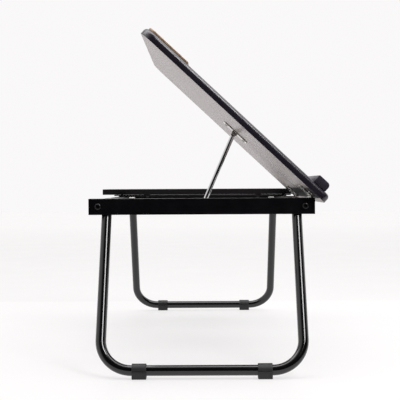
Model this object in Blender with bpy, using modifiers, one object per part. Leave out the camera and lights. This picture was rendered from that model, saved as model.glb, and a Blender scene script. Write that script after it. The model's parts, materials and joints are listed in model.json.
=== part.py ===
"""Folding laptop table: an angle-iron frame on two folding U-legs, a tilting
board held by a prop rod on a notched bar, and a fixed side board.

Metres, +Z up.  +X is the user's side (front), -X the rear, -Y the user's left,
+Y the user's right.  The origin is on the floor under the middle of the object.
"""
import bpy
import bmesh
from math import sin, cos, tan, radians, pi, sqrt, atan2
from mathutils import Matrix, Vector

# ------------------------------------------------------------ driving dimensions
GAP = 0.0003             # clearance between pieces that touch
FX = 0.0013              # the frame's middle in X
RT = 0.2650              # height of the side rails' top face
RAIL_HX = 0.1800         # half length of a side rail (X)
RAIL_HY = 0.2870         # outer face of a side rail (Y)
RAIL_H = 0.0257          # angle iron, upright leg
RAIL_W = 0.0250          # angle iron, flat leg
RAIL_T = 0.0020          # angle iron, wall
LONG_X = 0.1785          # outer face of a long rail (X)
LONG_TOP = -0.0023       # long rails' top face below RT
CORNER_X = 0.1648        # corner bolt, from the frame's middle
CORNER_Z = -0.0126       # corner bolt below RT

TUBE_R = 0.0080          # leg tube outer radius
TUBE_T = 0.0012          # leg tube wall
LEG_HX = 0.1520          # leg tube centre line, half width of the U
LEG_BEND = 0.0475        # bend radius on the centre line
SPLAY = radians(28.0)    # leg lean from upright
PIVOT_Y = 0.2710         # leg pivot
PIVOT_Z = -0.0175        # leg pivot below RT
CROSS_Z = 0.0122         # cross tube's centre above the floor
FOOT_X = 0.0932          # feet, from the frame's middle
FOOT_L = 0.0215
FOOT_R = 0.0101

TILT = radians(43.1)     # tilting board's slope
HPX, HPZ = 0.1815, -0.0005    # hinge pin, from the frame's middle and RT
DROP = 0.0030            # hinge pin to the board's underside
BOARD_T = 0.0133
BOARD_U0, BOARD_U1 = -0.3830, 0.0145     # board's rear and front end from the pin
BOARD_Y0, BOARD_Y1 = -0.3000, 0.1520
SIDE_Y0, SIDE_Y1 = 0.1545, 0.3000
SIDE_X0, SIDE_X1 = -0.2045, 0.1955
SIDE_Z = 0.0023          # side board's underside above RT
SIDE_T = 0.0112
CORNER_R = 0.0270
BAR_HX = 0.1805          # half length of the flat bar under the side board's inner edge
BAR_Y0, BAR_Y1 = 0.1535, 0.1785
PAD_X, PAD_Y = 0.1112, -0.2745           # pads that the lowered board rests above

PROP_Y = -0.0740         # prop's plane, the middle of the tilting board
PROP_U, PROP_W = -0.1680, -0.0035        # prop pin in the board's frame
PROP_FX, PROP_FZ = 0.0062, -0.0040       # prop's foot, from the frame's middle and RT
ROD_R = 0.0040
SLOT_HW = 0.0110         # half width of the slot in the cross bar
HINGES = ((-0.2260, -0.1760), (0.0280, 0.0780))
KNUCKLE_R = 0.0026
HINGE_PIN_R = 0.0012
LEAF_T = 0.0012

# ------------------------------------------------------------ scene and helpers
for ob in list(bpy.data.objects):
    bpy.data.objects.remove(ob, do_unlink=True)
PARTS = bpy.data.collections.new("laptop_table")
CUTS = bpy.data.collections.new("cutters")
bpy.context.scene.collection.children.link(PARTS)
bpy.context.scene.collection.children.link(CUTS)


def material(name, rgb, rough, metal):
    m = bpy.data.materials.new(name)
    m.use_nodes = True
    b = m.node_tree.nodes["Principled BSDF"]
    b.inputs["Base Color"].default_value = (*rgb, 1.0)
    b.inputs["Roughness"].default_value = rough
    b.inputs["Metallic"].default_value = metal
    m.diffuse_color = (*rgb, 1.0)
    return m


STEEL = material("black_steel", (0.012, 0.012, 0.013), 0.38, 0.0)
GLOSS = material("black_tube_enamel", (0.008, 0.008, 0.009), 0.16, 0.0)
BOARD = material("board_laminate", (0.30, 0.29, 0.28), 0.35, 0.0)
SIDEB = material("side_board_laminate", (0.045, 0.042, 0.045), 0.40, 0.0)
LIP = material("stop_bar_plastic", (0.030, 0.029, 0.031), 0.42, 0.0)
TAN = material("rear_plate_wood", (0.34, 0.24, 0.16), 0.50, 0.0)
NICKEL = material("nickel_plate", (0.62, 0.61, 0.58), 0.26, 1.0)
CHROME = material("chrome_rod", (0.70, 0.70, 0.70), 0.12, 1.0)
ZINC = material("bolt_steel", (0.42, 0.42, 0.43), 0.35, 1.0)
BLACKB = material("bolt_black_oxide", (0.030, 0.030, 0.032), 0.34, 0.8)
PLASTIC = material("foot_plastic", (0.014, 0.014, 0.015), 0.55, 0.0)
PAD = material("pad_rubber", (0.72, 0.71, 0.69), 0.45, 0.0)
NYLON = material("bush_nylon", (0.020, 0.020, 0.021), 0.50, 0.0)


def finish(ob, mat, parent=None, smooth=None):
    ob.data.materials.clear()
    ob.data.materials.append(mat)
    if smooth is not None:
        ob.data.shade_smooth()
        ob.data.set_sharp_from_angle(angle=radians(smooth))
    PARTS.objects.link(ob)
    if parent is not None:
        ob.parent = parent
    return ob


def placed(me, name, matrix):
    ob = bpy.data.objects.new(name, me)
    ob.location = matrix.to_translation()
    ob.rotation_euler = matrix.to_euler()
    return ob


def box_mesh(name, lo, hi):
    me = bpy.data.meshes.new(name)
    bm = bmesh.new()
    bmesh.ops.create_cube(bm, size=1.0)
    c = [(a + b) / 2 for a, b in zip(lo, hi)]
    s = [b - a for a, b in zip(lo, hi)]
    for v in bm.verts:
        v.co = Vector([v.co[i] * s[i] + c[i] for i in range(3)])
    bm.to_mesh(me)
    bm.free()
    return me


def along(p0, p1):
    """A matrix at p0 whose +Z runs to p1."""
    d = (Vector(p1) - Vector(p0)).normalized()
    return Matrix.Translation(Vector(p0)) @ d.to_track_quat('Z', 'Y').to_matrix().to_4x4()


def rods_mesh(name, rods, seg):
    """Round bars, each (p0, p1, radius), in one mesh."""
    me = bpy.data.meshes.new(name)
    bm = bmesh.new()
    for p0, p1, r in rods:
        length = (Vector(p1) - Vector(p0)).length
        bmesh.ops.create_cone(bm, cap_ends=True, segments=seg, radius1=r, radius2=r, depth=length,
                              matrix=along(p0, p1) @ Matrix.Translation((0, 0, length / 2)))
    bm.to_mesh(me)
    bm.free()
    return me


def outline_mesh(name, loops, thick):
    """A flat outline in its own XY plane, thick along Z, with the later loops as holes."""
    cu = bpy.data.curves.new(name + "_outline", 'CURVE')
    cu.dimensions = '2D'
    cu.fill_mode = 'BOTH'
    cu.extrude = thick / 2
    for pts in loops:
        sp = cu.splines.new('POLY')
        sp.points.add(len(pts) - 1)
        for p, (x, y) in zip(sp.points, pts):
            p.co = (x, y, 0, 1)
        sp.use_cyclic_u = True
    return curve_to_mesh(cu, name)


def curve_to_mesh(cu, name):
    tmp = bpy.data.objects.new(name + "_curve", cu)
    bpy.context.scene.collection.objects.link(tmp)
    dg = bpy.context.evaluated_depsgraph_get()
    me = bpy.data.meshes.new_from_object(tmp.evaluated_get(dg))
    me.name = name
    bm = bmesh.new()
    bm.from_mesh(me)
    bmesh.ops.remove_doubles(bm, verts=bm.verts, dist=1e-6)
    bmesh.ops.recalc_face_normals(bm, faces=bm.faces)
    bm.to_mesh(me)
    bm.free()
    bpy.data.objects.remove(tmp, do_unlink=True)
    return me


def circle(cx, cy, r, n):
    return [(cx + r * cos(2 * pi * i / n), cy + r * sin(2 * pi * i / n)) for i in range(n)]


def rounded(x0, y0, x1, y1, radii, n=5):
    """A rectangle with its own radius at (x0,y0), (x1,y0), (x1,y1), (x0,y1)."""
    pts = []
    for (cx, cy, sx, sy, a0), r in zip(((x0, y0, 1, 1, pi), (x1, y0, -1, 1, 1.5 * pi),
                                        (x1, y1, -1, -1, 0.0), (x0, y1, 1, -1, 0.5 * pi)), radii):
        if r <= 0:
            pts.append((cx, cy))
            continue
        for i in range(n + 1):
            a = a0 + 0.5 * pi * i / n
            pts.append((cx + sx * r + r * cos(a), cy + sy * r + r * sin(a)))
    return pts


# own XY of an outline -> world YZ (thick along X), and -> world XZ (thick along -Y)
TO_YZ = Matrix(((0, 0, 1), (1, 0, 0), (0, 1, 0))).to_4x4()
TO_XZ = Matrix.Rotation(pi / 2, 4, 'X')


def cutter(me, name, matrix=Matrix.Identity(4), parent=None):
    ob = placed(me, name, matrix)
    ob.hide_render = True
    ob.display_type = 'WIRE'
    CUTS.objects.link(ob)
    if parent is not None:
        ob.parent = parent
    return ob


def boolean(ob, other, operation='DIFFERENCE'):
    m = ob.modifiers.new(operation.lower(), 'BOOLEAN')
    m.operation = operation
    m.solver = 'EXACT'
    m.object = other
    return m


def bevel(ob, width, segments=1, angle=40.0):
    m = ob.modifiers.new("edges", 'BEVEL')
    m.width = width
    m.segments = segments
    m.limit_method = 'ANGLE'
    m.angle_limit = radians(angle)
    m.use_clamp_overlap = True
    return m


def turned(name, profile, steps, matrix, mat, parent=None):
    """A turned piece: profile is (radius, height) pairs from the top to the bottom."""
    me = bpy.data.meshes.new(name)
    me.from_pydata([(r, 0, z) for r, z in profile], [(i, i + 1) for i in range(len(profile) - 1)], [])
    ob = placed(me, name, matrix)
    finish(ob, mat, parent)
    m = ob.modifiers.new("turn", 'SCREW')
    m.axis = 'Z'
    m.angle = 2 * pi
    m.steps = m.render_steps = steps
    m.use_merge_vertices = True
    m.merge_threshold = 0.00001
    m.use_smooth_shade = False
    return ob


def at(p, direction):
    return along(p, Vector(p) + Vector(direction))


def empty(name, loc, rot=(0, 0, 0)):
    e = bpy.data.objects.new(name, None)
    e.empty_display_size = 0.03
    e.location = loc
    e.rotation_euler = rot
    PARTS.objects.link(e)
    return e


# ------------------------------------------------------------ side rails
def side_rail(name, s):
    z0, z1 = RT - RAIL_H, RT
    yo, yi, yf = s * RAIL_HY, s * (RAIL_HY - RAIL_T), s * (RAIL_HY - RAIL_W)
    pts = [(yo, z0), (yi, z0), (yi, z1 - RAIL_T), (yf, z1 - RAIL_T), (yf, z1), (yo, z1)]
    ob = placed(outline_mesh(name, [pts], 2 * RAIL_HX), name, Matrix.Translation((FX, 0, 0)) @ TO_YZ)
    finish(ob, STEEL)
    holes = [((FX + k * CORNER_X, s * (RAIL_HY - 0.006), RT + CORNER_Z),
              (FX + k * CORNER_X, s * (RAIL_HY + 0.006), RT + CORNER_Z), 0.0033) for k in (-1, 1)]
    if s > 0:
        holes += [((FX + k * 0.120, 0.2745, RT - 0.006), (FX + k * 0.120, 0.2745, RT + 0.004), 0.0022) for k in (-1, 1)]
    boolean(ob, cutter(rods_mesh(name + "_holes", holes, 12), name + "_holes"))
    return ob


side_rail("left_side_rail", -1)
side_rail("right_side_rail", 1)

# ------------------------------------------------------------ long rails with bent end tabs
LONG_HY = RAIL_HY - RAIL_T - GAP


def long_rail(name, s):
    z0, z1 = RT - RAIL_H, RT + LONG_TOP
    xo, xi, xf = FX + s * LONG_X, FX + s * (LONG_X - RAIL_T), FX + s * (LONG_X - RAIL_W)
    pts = [(xo, z0), (xi, z0), (xi, z1 - RAIL_T), (xf, z1 - RAIL_T), (xf, z1), (xo, z1)]
    ob = placed(outline_mesh(name, [pts], 2 * LONG_HY), name, TO_XZ)
    finish(ob, STEEL)
    tabs = bpy.data.meshes.new(name + "_tabs")
    bm = bmesh.new()
    for k in (-1, 1):
        lo = (min(FX + s * 0.1606, FX + s * (LONG_X - 0.0005)), min(k * LONG_HY, k * (LONG_HY - RAIL_T)) , z0 + 0.0008)
        hi = (max(FX + s * 0.1606, FX + s * (LONG_X - 0.0005)), max(k * LONG_HY, k * (LONG_HY - RAIL_T)), z1 - 0.0008)
        mat = Matrix.Translation([(a + b) / 2 for a, b in zip(lo, hi)]) @ Matrix.Diagonal([b - a for a, b in zip(lo, hi)] + [1])
        bmesh.ops.create_cube(bm, size=1.0, matrix=mat)
    bm.to_mesh(tabs)
    bm.free()
    boolean(ob, cutter(tabs, name + "_tabs"), 'UNION')
    zc = RT + CORNER_Z
    holes = [((FX + s * CORNER_X, k * (LONG_HY - 0.006), zc), (FX + s * CORNER_X, k * (LONG_HY + 0.004), zc), 0.0033) for k in (-1, 1)]
    holes += [((FX + s * (LONG_X - 0.006), k * PIVOT_Y, RT + PIVOT_Z), (FX + s * (LONG_X + 0.004), k * PIVOT_Y, RT + PIVOT_Z), 0.0033) for k in (-1, 1)]
    holes += [((FX + s * 0.166, PROP_Y, RT - 0.008), (FX + s * 0.166, PROP_Y, RT + 0.002), 0.0024)]
    holes += [((FX + s * 0.166, 0.166, RT - 0.008), (FX + s * 0.166, 0.166, RT + 0.002), 0.0022)]
    boolean(ob, cutter(rods_mesh(name + "_holes", holes, 12), name + "_holes"))
    return ob


long_rail("front_rail", 1)
long_rail("rear_rail", -1)


# ------------------------------------------------------------ corner bolts (button heads, hex socket)
def button_bolt(name, p, d, head_r, head_h, shank_r, shank, mat, steps=14, socket=0.0022):
    """Head's underside at p, the shank runs along d."""
    prof = [(0.0, head_h), (head_r * 0.42, head_h), (head_r * 0.80, head_h * 0.72), (head_r, head_h * 0.22), (head_r, 0.0),
            (shank_r, 0.0), (shank_r, -shank + 0.0006), (shank_r - 0.0006, -shank), (0.0, -shank)]
    M = at(p, -Vector(d))
    ob = turned(name, prof, steps, M, mat)
    if socket:
        me = bpy.data.meshes.new(name + "_socket")
        bm = bmesh.new()
        bmesh.ops.create_cone(bm, cap_ends=True, segments=6, radius1=socket, radius2=socket, depth=head_h,
                              matrix=Matrix.Translation((0, 0, head_h * 1.15)))
        bm.to_mesh(me)
        bm.free()
        boolean(ob, cutter(me, name + "_socket", M))
    return ob


for k, side in ((-1, "left"), (1, "right")):
    for s, end in ((1, "front"), (-1, "rear")):
        button_bolt("corner_bolt_%s_%s" % (side, end), (FX + s * CORNER_X, k * (RAIL_HY + 0.0002), RT + CORNER_Z),
                    (0, -k, 0), 0.0053, 0.0030, 0.0030, 0.0072, ZINC)

# ------------------------------------------------------------ leg pivots: bolt, bush, nut
for k, side in ((-1, "left"), (1, "right")):
    for s, end in ((1, "front"), (-1, "rear")):
        y, z = k * PIVOT_Y, RT + PIVOT_Z
        x_head = FX + s * (LONG_X + 0.0002)
        button_bolt("pivot_bolt_%s_%s" % (side, end), (x_head, y, z), (-s, 0, 0), 0.0050, 0.0022, 0.0030, 0.0412,
                    ZINC, steps=12, socket=0)
        b0, b1 = LEG_HX + TUBE_R + GAP, LONG_X - RAIL_T - GAP
        me = outline_mesh("bush", [circle(0, 0, 0.0060, 14), circle(0, 0, 0.0033, 12)], b1 - b0)
        ob = placed(me, "pivot_bush_%s_%s" % (side, end), Matrix.Translation((FX + s * (b0 + b1) / 2, y, z)) @ TO_YZ)
        finish(ob, NYLON)
        n1 = LEG_HX - TUBE_R - GAP
        n0 = n1 - 0.0045
        me = outline_mesh("nut", [circle(0, 0, 0.0058, 6), circle(0, 0, 0.0033, 12)], n1 - n0)
        ob = placed(me, "pivot_nut_%s_%s" % (side, end), Matrix.Translation((FX + s * (n0 + n1) / 2, y, z)) @ TO_YZ)
        finish(ob, ZINC)


# ------------------------------------------------------------ U-legs
LEG_LEN = (RT + PIVOT_Z - CROSS_Z) / cos(SPLAY)
CROSS_Y = PIVOT_Y + (RT + PIVOT_Z - CROSS_Z) * tan(SPLAY)


def leg_path():
    pts = [(-LEG_HX, 0.0, 0.0055), (-LEG_HX, 0.0, -(LEG_LEN - LEG_BEND) * 0.5), (-LEG_HX, 0.0, -(LEG_LEN - LEG_BEND))]
    n = 8
    for i in range(1, n):
        a = pi / 2 * i / n
        pts.append((-LEG_HX + LEG_BEND * (1 - cos(a)), 0.0, -(LEG_LEN - LEG_BEND) - LEG_BEND * sin(a)))
    pts.append((-LEG_HX + LEG_BEND, 0.0, -LEG_LEN))
    right = [(-x, y, z) for x, y, z in reversed(pts)]
    return pts + right


def leg(side, k):
    hub = empty(side + "_leg_pivot", (FX, k * PIVOT_Y, RT + PIVOT_Z), (k * SPLAY, 0, 0))
    cu = bpy.data.curves.new(side + "_leg_path", 'CURVE')
    cu.dimensions = '3D'
    cu.bevel_depth = TUBE_R
    cu.bevel_resolution = 4
    cu.use_fill_caps = False
    cu.twist_mode = 'MINIMUM'
    sp = cu.splines.new('POLY')
    path = leg_path()
    sp.points.add(len(path) - 1)
    for p, q in zip(sp.points, path):
        p.co = (*q, 1)
    me = curve_to_mesh(cu, side + "_leg_tube")
    ob = placed(me, side + "_leg_tube", Matrix.Identity(4))
    finish(ob, GLOSS, hub, smooth=35)
    m = ob.modifiers.new("wall", 'SOLIDIFY')
    m.thickness = TUBE_T
    m.offset = -1.0
    m.use_even_offset = True
    holes = [((-LEG_HX - 0.02, 0, 0), (-LEG_HX + 0.02, 0, 0), 0.0033), ((LEG_HX - 0.02, 0, 0), (LEG_HX + 0.02, 0, 0), 0.0033)]
    boolean(ob, cutter(rods_mesh(side + "_leg_holes", holes, 12), side + "_leg_holes", parent=hub))
    # the end plugs close the tubes above the pivots
    for s, end in ((1, "front"), (-1, "rear")):
        prof = [(0.0, 0.0018), (0.0045, 0.0016), (0.0071, 0.0010), (0.0074, GAP),
                (TUBE_R - TUBE_T - GAP, GAP), (TUBE_R - TUBE_T - GAP, -0.0018), (0.0, -0.0018)]
        turned("%s_leg_plug_%s" % (side, end), prof, 12, Matrix.Translation((s * LEG_HX, 0, 0.0055)), PLASTIC, hub)
    # clip feet round the cross tube: a ring with a flat sole
    for s, end in ((1, "front"), (-1, "rear")):
        r = FOOT_R
        pts = [(-0.0088, -CROSS_Z + 0.0010), (-0.0078, -CROSS_Z), (0.0078, -CROSS_Z), (0.0088, -CROSS_Z + 0.0010)]
        n = 14
        a0 = atan2(-0.0048, 0.0089)
        for i in range(n + 1):
            a = a0 + (pi - 2 * a0) * i / n
            pts.append((r * cos(a), r * sin(a)))
        me = outline_mesh("foot", [pts, circle(0, 0, TUBE_R + GAP, 16)], FOOT_L)
        # square to the floor at rest: the hub's lean is taken out again
        M = Matrix.Translation((s * FOOT_X, 0, -LEG_LEN)) @ Matrix.Rotation(-k * SPLAY, 4, 'X') @ TO_YZ
        ob = placed(me, "%s_foot_%s" % (side, end), M)
        finish(ob, PLASTIC, hub)
    return hub


leg("left", -1)
leg("right", 1)

# ------------------------------------------------------------ slotted, notched cross bar for the prop's foot
z_mid0, z_mid1 = RT - 0.0088, RT - 0.0068
z_end1 = RT + LONG_TOP - RAIL_T - GAP
z_end0 = z_end1 - 0.0020
xe, xa, xb = LONG_X - RAIL_T - GAP, 0.1420, 0.1370
pts = [(-xe, z_end0), (-xa, z_end0), (-xb, z_mid0), (xb, z_mid0), (xa, z_end0), (xe, z_end0),
       (xe, z_end1), (xa - 0.0006, z_end1), (xb - 0.0006, z_mid1), (-xb + 0.0006, z_mid1), (-xa + 0.0006, z_end1), (-xe, z_end1)]
bar = placed(outline_mesh("notched_bar", [pts], 0.046), "notched_bar", Matrix.Translation((FX, PROP_Y, 0)) @ TO_XZ)
finish(bar, STEEL)

def slot_edge(sgn):
    """One long edge of the slot, from the front to the rear, with the notches for the foot."""
    out = [(0.0300, sgn * SLOT_HW)]
    for i in range(5):
        c = PROP_FX - 0.0140 * i
        out += [(c + 0.0034, sgn * SLOT_HW), (c + 0.0030, sgn * (SLOT_HW + 0.0040)),
                (c - 0.0030, sgn * (SLOT_HW + 0.0040)), (c - 0.0034, sgn * SLOT_HW)]
    out += [(-0.1250, sgn * SLOT_HW)]
    return out


slot = slot_edge(1) + list(reversed(slot_edge(-1)))
boolean(bar, cutter(outline_mesh("bar_slot", [slot], 0.02), "bar_slot", Matrix.Translation((FX, PROP_Y, RT - 0.0078))))
boolean(bar, cutter(rods_mesh("bar_holes", [((FX + s * 0.166, PROP_Y, RT - 0.012), (FX + s * 0.166, PROP_Y, RT + 0.002), 0.0024)
                                            for s in (-1, 1)], 12), "bar_holes"))
for s, end in ((1, "front"), (-1, "rear")):
    prof = [(0.0, 0.0014), (0.0022, 0.0012), (0.0038, 0.0002), (0.0038, 0.0), (0.0021, 0.0), (0.0021, -0.0048),
            (0.0034, -0.0048), (0.0034, -0.0056), (0.0, -0.0060)]
    turned("bar_rivet_" + end, prof, 12, Matrix.Translation((FX + s * 0.166, PROP_Y, RT + LONG_TOP + 0.0002)), ZINC)


# ------------------------------------------------------------ boards
def board_mesh(name, loop, thick, round_w):
    """A board from its plan outline, standing on z = 0, with its top edge marked for rounding."""
    me = outline_mesh(name, [loop], thick)
    bm = bmesh.new()
    bm.from_mesh(me)
    for v in bm.verts:
        v.co.z += thick / 2
    bmesh.ops.dissolve_limit(bm, angle_limit=radians(0.5), verts=bm.verts, edges=bm.edges)
    layer = bm.edges.layers.float.get("bevel_weight_edge") or bm.edges.layers.float.new("bevel_weight_edge")
    for e in bm.edges:
        flat = [abs(f.normal.z) > 0.9 for f in e.link_faces]
        if len(flat) == 2 and flat[0] != flat[1] and all(v.co.z > thick / 2 for v in e.verts):
            e[layer] = 1.0
    bm.to_mesh(me)
    bm.free()
    return me


def top_round(ob, width, segments):
    m = ob.modifiers.new("top_edge", 'BEVEL')
    m.width = width
    m.segments = segments
    m.limit_method = 'WEIGHT'


tilt = empty("tilt_pivot", (FX + HPX, 0, RT + HPZ), (0, TILT, 0))
loop = rounded(BOARD_U0, BOARD_Y0, BOARD_U1, BOARD_Y1, (CORNER_R, 0.010, 0.003, CORNER_R))
board = placed(board_mesh("tilting_board", loop, BOARD_T, 0.004), "tilting_board", Matrix.Translation((0, 0, DROP)))
finish(board, BOARD, tilt)
top_round(board, 0.0042, 3)
LIP_SCREWS = ((-0.0095, -0.2500), (-0.0095, 0.1050))
boolean(board, cutter(rods_mesh("board_holes", [((u, y, -0.002), (u, y, 0.024), 0.0022) for u, y in LIP_SCREWS], 12),
                      "board_holes", parent=tilt))

side = placed(board_mesh("side_board", rounded(SIDE_X0, SIDE_Y0, SIDE_X1, SIDE_Y1, (0.0015, 0.0015, 0.0250, 0.0250)),
                         SIDE_T, 0.004), "side_board", Matrix.Translation((FX, 0, RT + SIDE_Z)))
finish(side, SIDEB)
top_round(side, 0.0016, 2)
SCREWS = ((-0.120, 0.2745, "rear_right", 0.0), (0.120, 0.2745, "front_right", 0.0),
          (-0.166, 0.166, "rear_inner", LONG_TOP), (0.166, 0.166, "front_inner", LONG_TOP))
boolean(side, cutter(rods_mesh("side_holes", [((FX + x, y, RT - 0.002), (FX + x, y, RT + SIDE_Z + 0.0085), 0.0021)
                                              for x, y, _, _ in SCREWS], 10), "side_holes"))
bar = placed(outline_mesh("board_bar", [rounded(FX - BAR_HX, BAR_Y0, FX + BAR_HX, BAR_Y1, (0.001,) * 4, 2)], RAIL_T), "board_bar",
             Matrix.Translation((0, 0, RT + SIDE_Z - GAP - RAIL_T / 2)))
finish(bar, STEEL)
boolean(bar, cutter(rods_mesh("bar_holes_inner", [((FX + x, y, RT - 0.004), (FX + x, y, RT + 0.008), 0.0022)
                                                  for x, y, _, top in SCREWS if top], 10), "bar_holes_inner"))
for x, y, tag, top in SCREWS:
    h = SIDE_Z - GAP - (top + GAP) - (RAIL_T + GAP if top else 0.0)
    me = outline_mesh("spacer", [circle(0, 0, 0.0065, 14), circle(0, 0, 0.0023, 10)], h)
    ob = placed(me, "board_spacer_" + tag, Matrix.Translation((FX + x, y, RT + top + GAP + h / 2)))
    finish(ob, PLASTIC)
    zb = RT + top - RAIL_T - 0.0002
    prof = [(0.0, RT + SIDE_Z + 0.0078 - zb), (0.0018, RT + SIDE_Z + 0.0062 - zb), (0.0018, 0.0), (0.0037, 0.0),
            (0.0034, -0.0012), (0.0020, -0.0022), (0.0, -0.0022)]
    turned("board_screw_" + tag, prof, 10, Matrix.Translation((FX + x, y, zb)), ZINC)

# ------------------------------------------------------------ round pads on the left side rail
for s, end in ((1, "front"), (-1, "rear")):
    prof = [(0.0, 0.0019), (0.0036, 0.0019), (0.0044, 0.0015), (0.0048, 0.0008), (0.0048, 0.0), (0.0, 0.0)]
    turned("rail_pad_" + end, prof, 16, Matrix.Translation((FX + s * PAD_X, PAD_Y, RT + GAP)), PAD)

# ------------------------------------------------------------ stop bar across the front of the tilting board
w0 = DROP + BOARD_T + GAP
w1 = DROP + BOARD_T + 0.0140
u0, u1 = -0.0213, 0.0029
pts = [(u0, w0), (u1 - 0.0006, w0), (u1, w0 + 0.0006)]
for i in range(6):
    a = radians(90 * i / 5)
    pts.append((u1 - 0.0065 + 0.0065 * cos(a), w1 - 0.0065 + 0.0065 * sin(a)))
for i in range(3):
    a = radians(90 + 90 * i / 2)
    pts.append((u0 + 0.0015 + 0.0015 * cos(a), w1 - 0.0015 + 0.0015 * sin(a)))
ly0, ly1 = BOARD_Y0 + 0.0035, BOARD_Y1 - 0.0035
stop = placed(outline_mesh("stop_bar", [pts], ly1 - ly0), "stop_bar", Matrix.Translation((0, (ly0 + ly1) / 2, 0)) @ TO_XZ)
finish(stop, LIP, tilt)
boolean(stop, cutter(rods_mesh("stop_holes", [((u, y, w0 - 0.004), (u, y, w0 + 0.0085), 0.0021) for u, y in LIP_SCREWS], 10),
                     "stop_holes", parent=tilt))
for (u, y), end in zip(LIP_SCREWS, ("left", "right")):
    prof = [(0.0, w0 + 0.0075 - DROP + 0.0002), (0.0018, w0 + 0.0055 - DROP), (0.0018, 0.0), (0.0037, 0.0), (0.0034, -0.0011),
            (0.0020, -0.0020), (0.0, -0.0020)]
    turned("stop_bar_screw_" + end, prof, 10, Matrix.Translation((u, y, DROP - 0.0002)), ZINC, tilt)

# ------------------------------------------------------------ raised plate at the rear of the tilting board
me = outline_mesh("rear_plate", [rounded(BOARD_U0 + 0.0045, BOARD_Y0 + 0.0100, BOARD_U0 + 0.0890, BOARD_Y1 - 0.0100,
                                         (0.018, 0.003, 0.003, 0.018), 4)], 0.0036)
plate = placed(me, "rear_plate", Matrix.Translation((0, 0, DROP + BOARD_T + GAP + 0.0018)))
finish(plate, TAN, tilt)


# ------------------------------------------------------------ hinges
def comb(x_back, x_edge, x_knuckle, y0, y1, mine, n=5):
    """A leaf's plan: a plate with a tongue for each of its own knuckles."""
    w = (y1 - y0) / n
    pts = [(x_back, y0 + 0.0006), (x_edge, y0 + 0.0006)]
    for i in mine:
        a, b = y0 + i * w + 0.0004, y0 + (i + 1) * w - 0.0004
        a, b = max(a, y0 + 0.0006), min(b, y1 - 0.0006)
        if abs(a - pts[-1][1]) < 1e-5:
            pts[-1] = (x_knuckle, a)
        else:
            pts += [(x_edge, a), (x_knuckle, a)]
        pts += [(x_knuckle, b), (x_edge, b)]
    if abs(pts[-1][1] - (y1 - 0.0006)) > 1e-5:
        pts.append((x_edge, y1 - 0.0006))
    pts.append((x_back, y1 - 0.0006))
    return pts


for tag, (y0, y1) in zip(("left", "right"), HINGES):
    w = (y1 - y0) / 5
    # the leaf on the front rail
    zt = LONG_TOP + GAP - HPZ
    leaf = placed(outline_mesh("leaf", [comb(-0.0255, -0.0032, -0.0004, y0, y1, (0, 2, 4))], LEAF_T),
                  "hinge_frame_leaf_" + tag, Matrix.Translation((FX + HPX, 0, RT + HPZ + zt + LEAF_T / 2)))
    finish(leaf, NICKEL)
    kn = [((0, max(y0 + i * w + 0.0004, y0 + 0.0006), 0), (0, min(y0 + (i + 1) * w - 0.0004, y1 - 0.0006), 0), KNUCKLE_R) for i in (0, 2, 4)]
    H = Matrix.Translation((FX + HPX, 0, RT + HPZ))
    boolean(leaf, cutter(rods_mesh("kn", kn, 12), "frame_knuckles_" + tag, H), 'UNION')
    boolean(leaf, cutter(rods_mesh("kh", [((0, y0 - 0.01, 0), (0, y1 + 0.01, 0), HINGE_PIN_R + GAP)], 10), "frame_pin_hole_" + tag, H))
    # the leaf under the board
    leaf = placed(outline_mesh("leaf", [comb(-0.0265, -0.0032, -0.0004, y0, y1, (1, 3))], LEAF_T),
                  "hinge_board_leaf_" + tag, Matrix.Translation((0, 0, DROP - GAP - LEAF_T / 2)))
    finish(leaf, NICKEL, tilt)
    kn = [((0, y0 + i * w + 0.0004, 0), (0, y0 + (i + 1) * w - 0.0004, 0), KNUCKLE_R) for i in (1, 3)]
    boolean(leaf, cutter(rods_mesh("kn", kn, 12), "board_knuckles_" + tag, parent=tilt), 'UNION')
    boolean(leaf, cutter(rods_mesh("kh", [((0, y0 - 0.01, 0), (0, y1 + 0.01, 0), HINGE_PIN_R + GAP)], 10), "board_pin_hole_" + tag, parent=tilt))
    prof = [(0.0, 0.0010), (0.0015, 0.0008), (0.0022, 0.0003), (0.0022, 0.0), (HINGE_PIN_R, 0.0), (HINGE_PIN_R, -(y1 - y0) - 0.0006), (0.0, -(y1 - y0) - 0.0010)]
    turned("hinge_pin_" + tag, prof, 10, H @ at((0, y1 - 0.0003, 0), (0, 1, 0)), ZINC)

# ------------------------------------------------------------ prop: bracket, pin, rod
hub = empty("prop_pivot", (PROP_U, PROP_Y, PROP_W))
hub.parent = tilt
base_w = DROP - GAP - 0.00075
plate = outline_mesh("bracket", [rounded(PROP_U - 0.0280, PROP_Y - 0.0190, PROP_U + 0.0280, PROP_Y + 0.0190, (0.005,) * 4, 3)]
                     + [circle(PROP_U + a, PROP_Y + b, 0.0021, 10) for a in (-0.021, 0.021) for b in (-0.012, 0.012)], 0.0015)
br = placed(plate, "prop_bracket", Matrix.Translation((0, 0, base_w)))
finish(br, NICKEL, tilt)
ear = [(-0.0150, base_w + 0.0003), (-0.0150, base_w - 0.0004), (-0.0048, PROP_W - 0.0030), (-0.0028, PROP_W - 0.0046),
       (0.0028, PROP_W - 0.0046), (0.0048, PROP_W - 0.0030), (0.0150, base_w - 0.0004), (0.0150, base_w + 0.0003)]
ear = [(PROP_U + a, b) for a, b in ear]
for sgn, tag in ((-1, "a"), (1, "b")):
    boolean(br, cutter(outline_mesh("ear", [ear], 0.0016), "bracket_ear_" + tag,
                       Matrix.Translation((0, PROP_Y + sgn * 0.0053, 0)) @ TO_XZ, tilt), 'UNION')
boolean(br, cutter(rods_mesh("ear_hole", [((PROP_U, PROP_Y - 0.02, PROP_W), (PROP_U, PROP_Y + 0.02, PROP_W), 0.0023)], 12),
                   "bracket_pin_hole", parent=tilt))
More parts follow.
